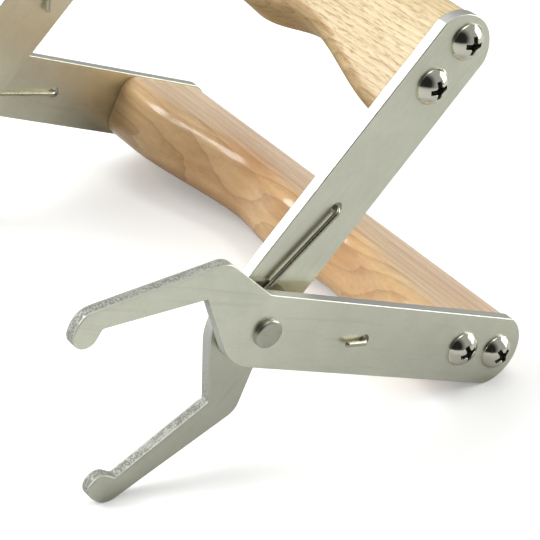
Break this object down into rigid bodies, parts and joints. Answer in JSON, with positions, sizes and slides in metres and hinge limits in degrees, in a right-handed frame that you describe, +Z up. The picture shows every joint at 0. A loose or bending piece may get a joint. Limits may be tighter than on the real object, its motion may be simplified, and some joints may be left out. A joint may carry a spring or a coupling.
{
  "type": "frame grip",
  "caption": "Two-handled scissor grip for lifting a beehive frame: flat steel arms with hooked jaws, wooden hand grips and sprung riveted pivots.",
  "frame": {"origin": "centre of the bounding box in X and Y, on the floor that the tool rests on", "axes": "+X from the jaws towards the handles, +Y along the handles and the pivot line from the near side to the far side, +Z up"},
  "size_m": [0.1314, 0.1438, 0.1018],
  "materials": {
    "arm_steel": "satin brushed sheet, sheared edges brighter and grainier",
    "screw_steel": "bright nickel plate",
    "rivet_steel": "satin, lightly hammered",
    "spring_steel": "drawn wire, satin",
    "upper_wood": "pale open-grained hardwood, thin satin lacquer",
    "lower_wood": "tan hardwood, glossier lacquer"
  },
  "bodies": {
    "lower_grip": {"near_outer_arm": "arm_steel", "far_outer_arm": "arm_steel", "lower_handle": "lower_wood", "near_lower_screw_in": "screw_steel", "near_lower_screw_out": "screw_steel", "far_lower_screw_in": "screw_steel", "far_lower_screw_out": "screw_steel", "near_pivot_rivet": "rivet_steel", "far_pivot_rivet": "rivet_steel", "near_spacer_bush": "rivet_steel", "far_spacer_bush": "rivet_steel", "near_spacer_washer": "rivet_steel", "far_spacer_washer": "rivet_steel", "near_back_washer": "rivet_steel", "far_back_washer": "rivet_steel", "near_torsion_spring": "spring_steel", "far_torsion_spring": "spring_steel"},
    "upper_grip": {"near_inner_arm": "arm_steel", "far_inner_arm": "arm_steel", "upper_handle": "upper_wood", "near_upper_screw_in": "screw_steel", "near_upper_screw_out": "screw_steel", "far_upper_screw_in": "screw_steel", "far_upper_screw_out": "screw_steel"}
  },
  "joints": [
    {"name": "pivot_hinge", "type": "hinge", "parent": "lower_grip", "child": "upper_grip", "pos_m": [-0.01452, 0, 0.03785], "axis": [0, 1, 0], "range_deg": [0, 44], "stiffness_Nm_per_rad": 1, "springref_deg": -6.88, "deforming": ["near_torsion_spring", "far_torsion_spring"]}
  ]
}
